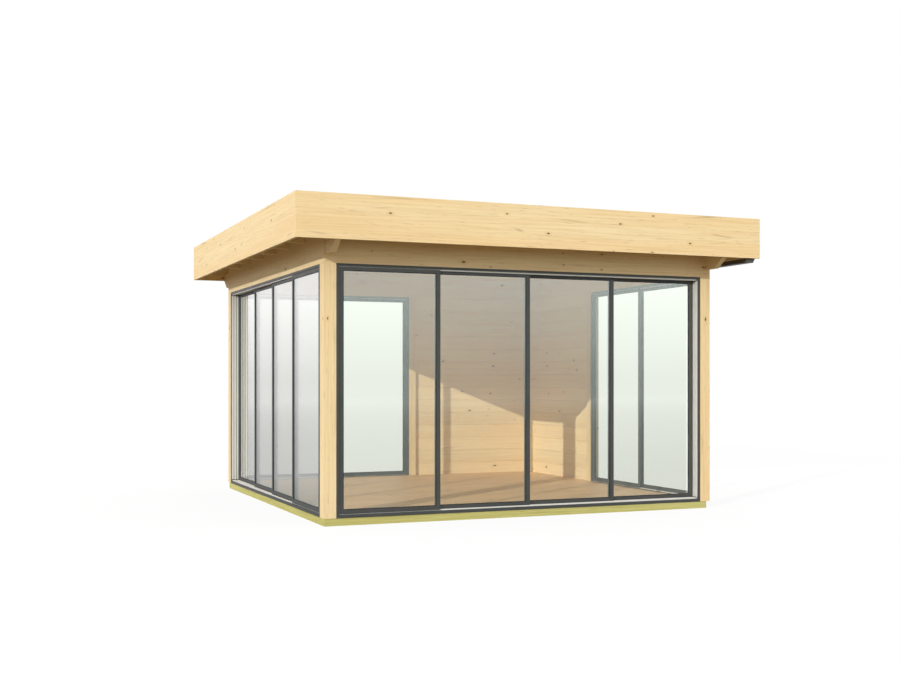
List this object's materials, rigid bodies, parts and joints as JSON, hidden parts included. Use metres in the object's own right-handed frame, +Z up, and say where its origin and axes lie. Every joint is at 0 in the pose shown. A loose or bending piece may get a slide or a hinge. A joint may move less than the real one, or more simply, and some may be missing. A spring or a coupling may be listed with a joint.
{
  "type": "log cabin",
  "caption": "Flat-roofed square log cabin with a deep timber fascia, a right-hand gutter, log walls and glazed telescopic sliding doors.",
  "frame": {"origin": "middle of the footprint, on the ground", "axes": "+Z up, front wall towards -Y, +X to the right seen from the front"},
  "size_m": [4.2, 4.2, 2.562],
  "materials": {
    "spruce": "planed pale spruce, untreated",
    "treated_pine": "pressure-treated pine, green-yellow",
    "floor_boards": "brown floor boards, satin",
    "anthracite": "anthracite grey powder coat on aluminium",
    "bright_aluminium": "mill-finish aluminium rails",
    "glass": "clear toughened glass",
    "roofing": "dark grey roofing membrane",
    "gutter": "dark grey coated gutter"
  },
  "bodies": {
    "cabin": {"post_front_left": "spruce", "post_front_right": "spruce", "post_back_left": "spruce", "post_back_right": "spruce", "middle_posts": "spruce", "back_log_wall": "spruce", "right_log_wall": "spruce", "front_header": "spruce", "back_header": "spruce", "left_wall_plate": "spruce", "right_wall_plate": "spruce", "roof_rafters": "spruce", "roof_deck": "spruce", "front_fascia": "spruce", "back_fascia": "spruce", "left_fascia": "spruce", "right_eave_board": "spruce", "base_beams_front_back": "treated_pine", "base_beams_sides": "treated_pine", "floor_joists": "treated_pine", "floor_deck": "floor_boards", "door_sills": "anthracite", "door_heads": "anthracite", "door_jambs": "anthracite", "fixed_panel_frames": "anthracite", "track_rails": "bright_aluminium", "fixed_panel_glass": "glass", "roof_membrane": "roofing", "gutter": "gutter"},
    "front_door_2": {"front_panel_2": "anthracite", "front_glass_2": "glass"},
    "front_door_3": {"front_panel_3": "anthracite", "front_glass_3": "glass"},
    "front_door_4": {"front_panel_4": "anthracite", "front_glass_4": "glass"},
    "left_door_2": {"left_panel_2": "anthracite", "left_glass_2": "glass"},
    "left_door_3": {"left_panel_3": "anthracite", "left_glass_3": "glass"},
    "left_door_4": {"left_panel_4": "anthracite", "left_glass_4": "glass"},
    "back_door_2": {"back_panel_2": "anthracite", "back_glass_2": "glass"},
    "right_door_2": {"right_panel_2": "anthracite", "right_glass_2": "glass"}
  },
  "joints": [
    {"name": "front_door_2_slide", "type": "slide", "parent": "cabin", "child": "front_door_2", "axis": [-1, 0, 0], "range_m": [0, 0.81425]},
    {"name": "front_door_3_slide", "type": "slide", "parent": "cabin", "child": "front_door_3", "axis": [-1, 0, 0], "range_m": [0, 1.6365]},
    {"name": "front_door_4_slide", "type": "slide", "parent": "cabin", "child": "front_door_4", "axis": [-1, 0, 0], "range_m": [0, 2.45875]},
    {"name": "left_door_2_slide", "type": "slide", "parent": "cabin", "child": "left_door_2", "axis": [0, -1, 0], "range_m": [0, 0.80675]},
    {"name": "left_door_3_slide", "type": "slide", "parent": "cabin", "child": "left_door_3", "axis": [0, -1, 0], "range_m": [0, 1.6215]},
    {"name": "left_door_4_slide", "type": "slide", "parent": "cabin", "child": "left_door_4", "axis": [0, -1, 0], "range_m": [0, 2.43625]},
    {"name": "back_door_2_slide", "type": "slide", "parent": "cabin", "child": "back_door_2", "axis": [-1, 0, 0], "range_m": [0, 0.898]},
    {"name": "right_door_2_slide", "type": "slide", "parent": "cabin", "child": "right_door_2", "axis": [0, -1, 0], "range_m": [0, 0.889]}
  ]
}
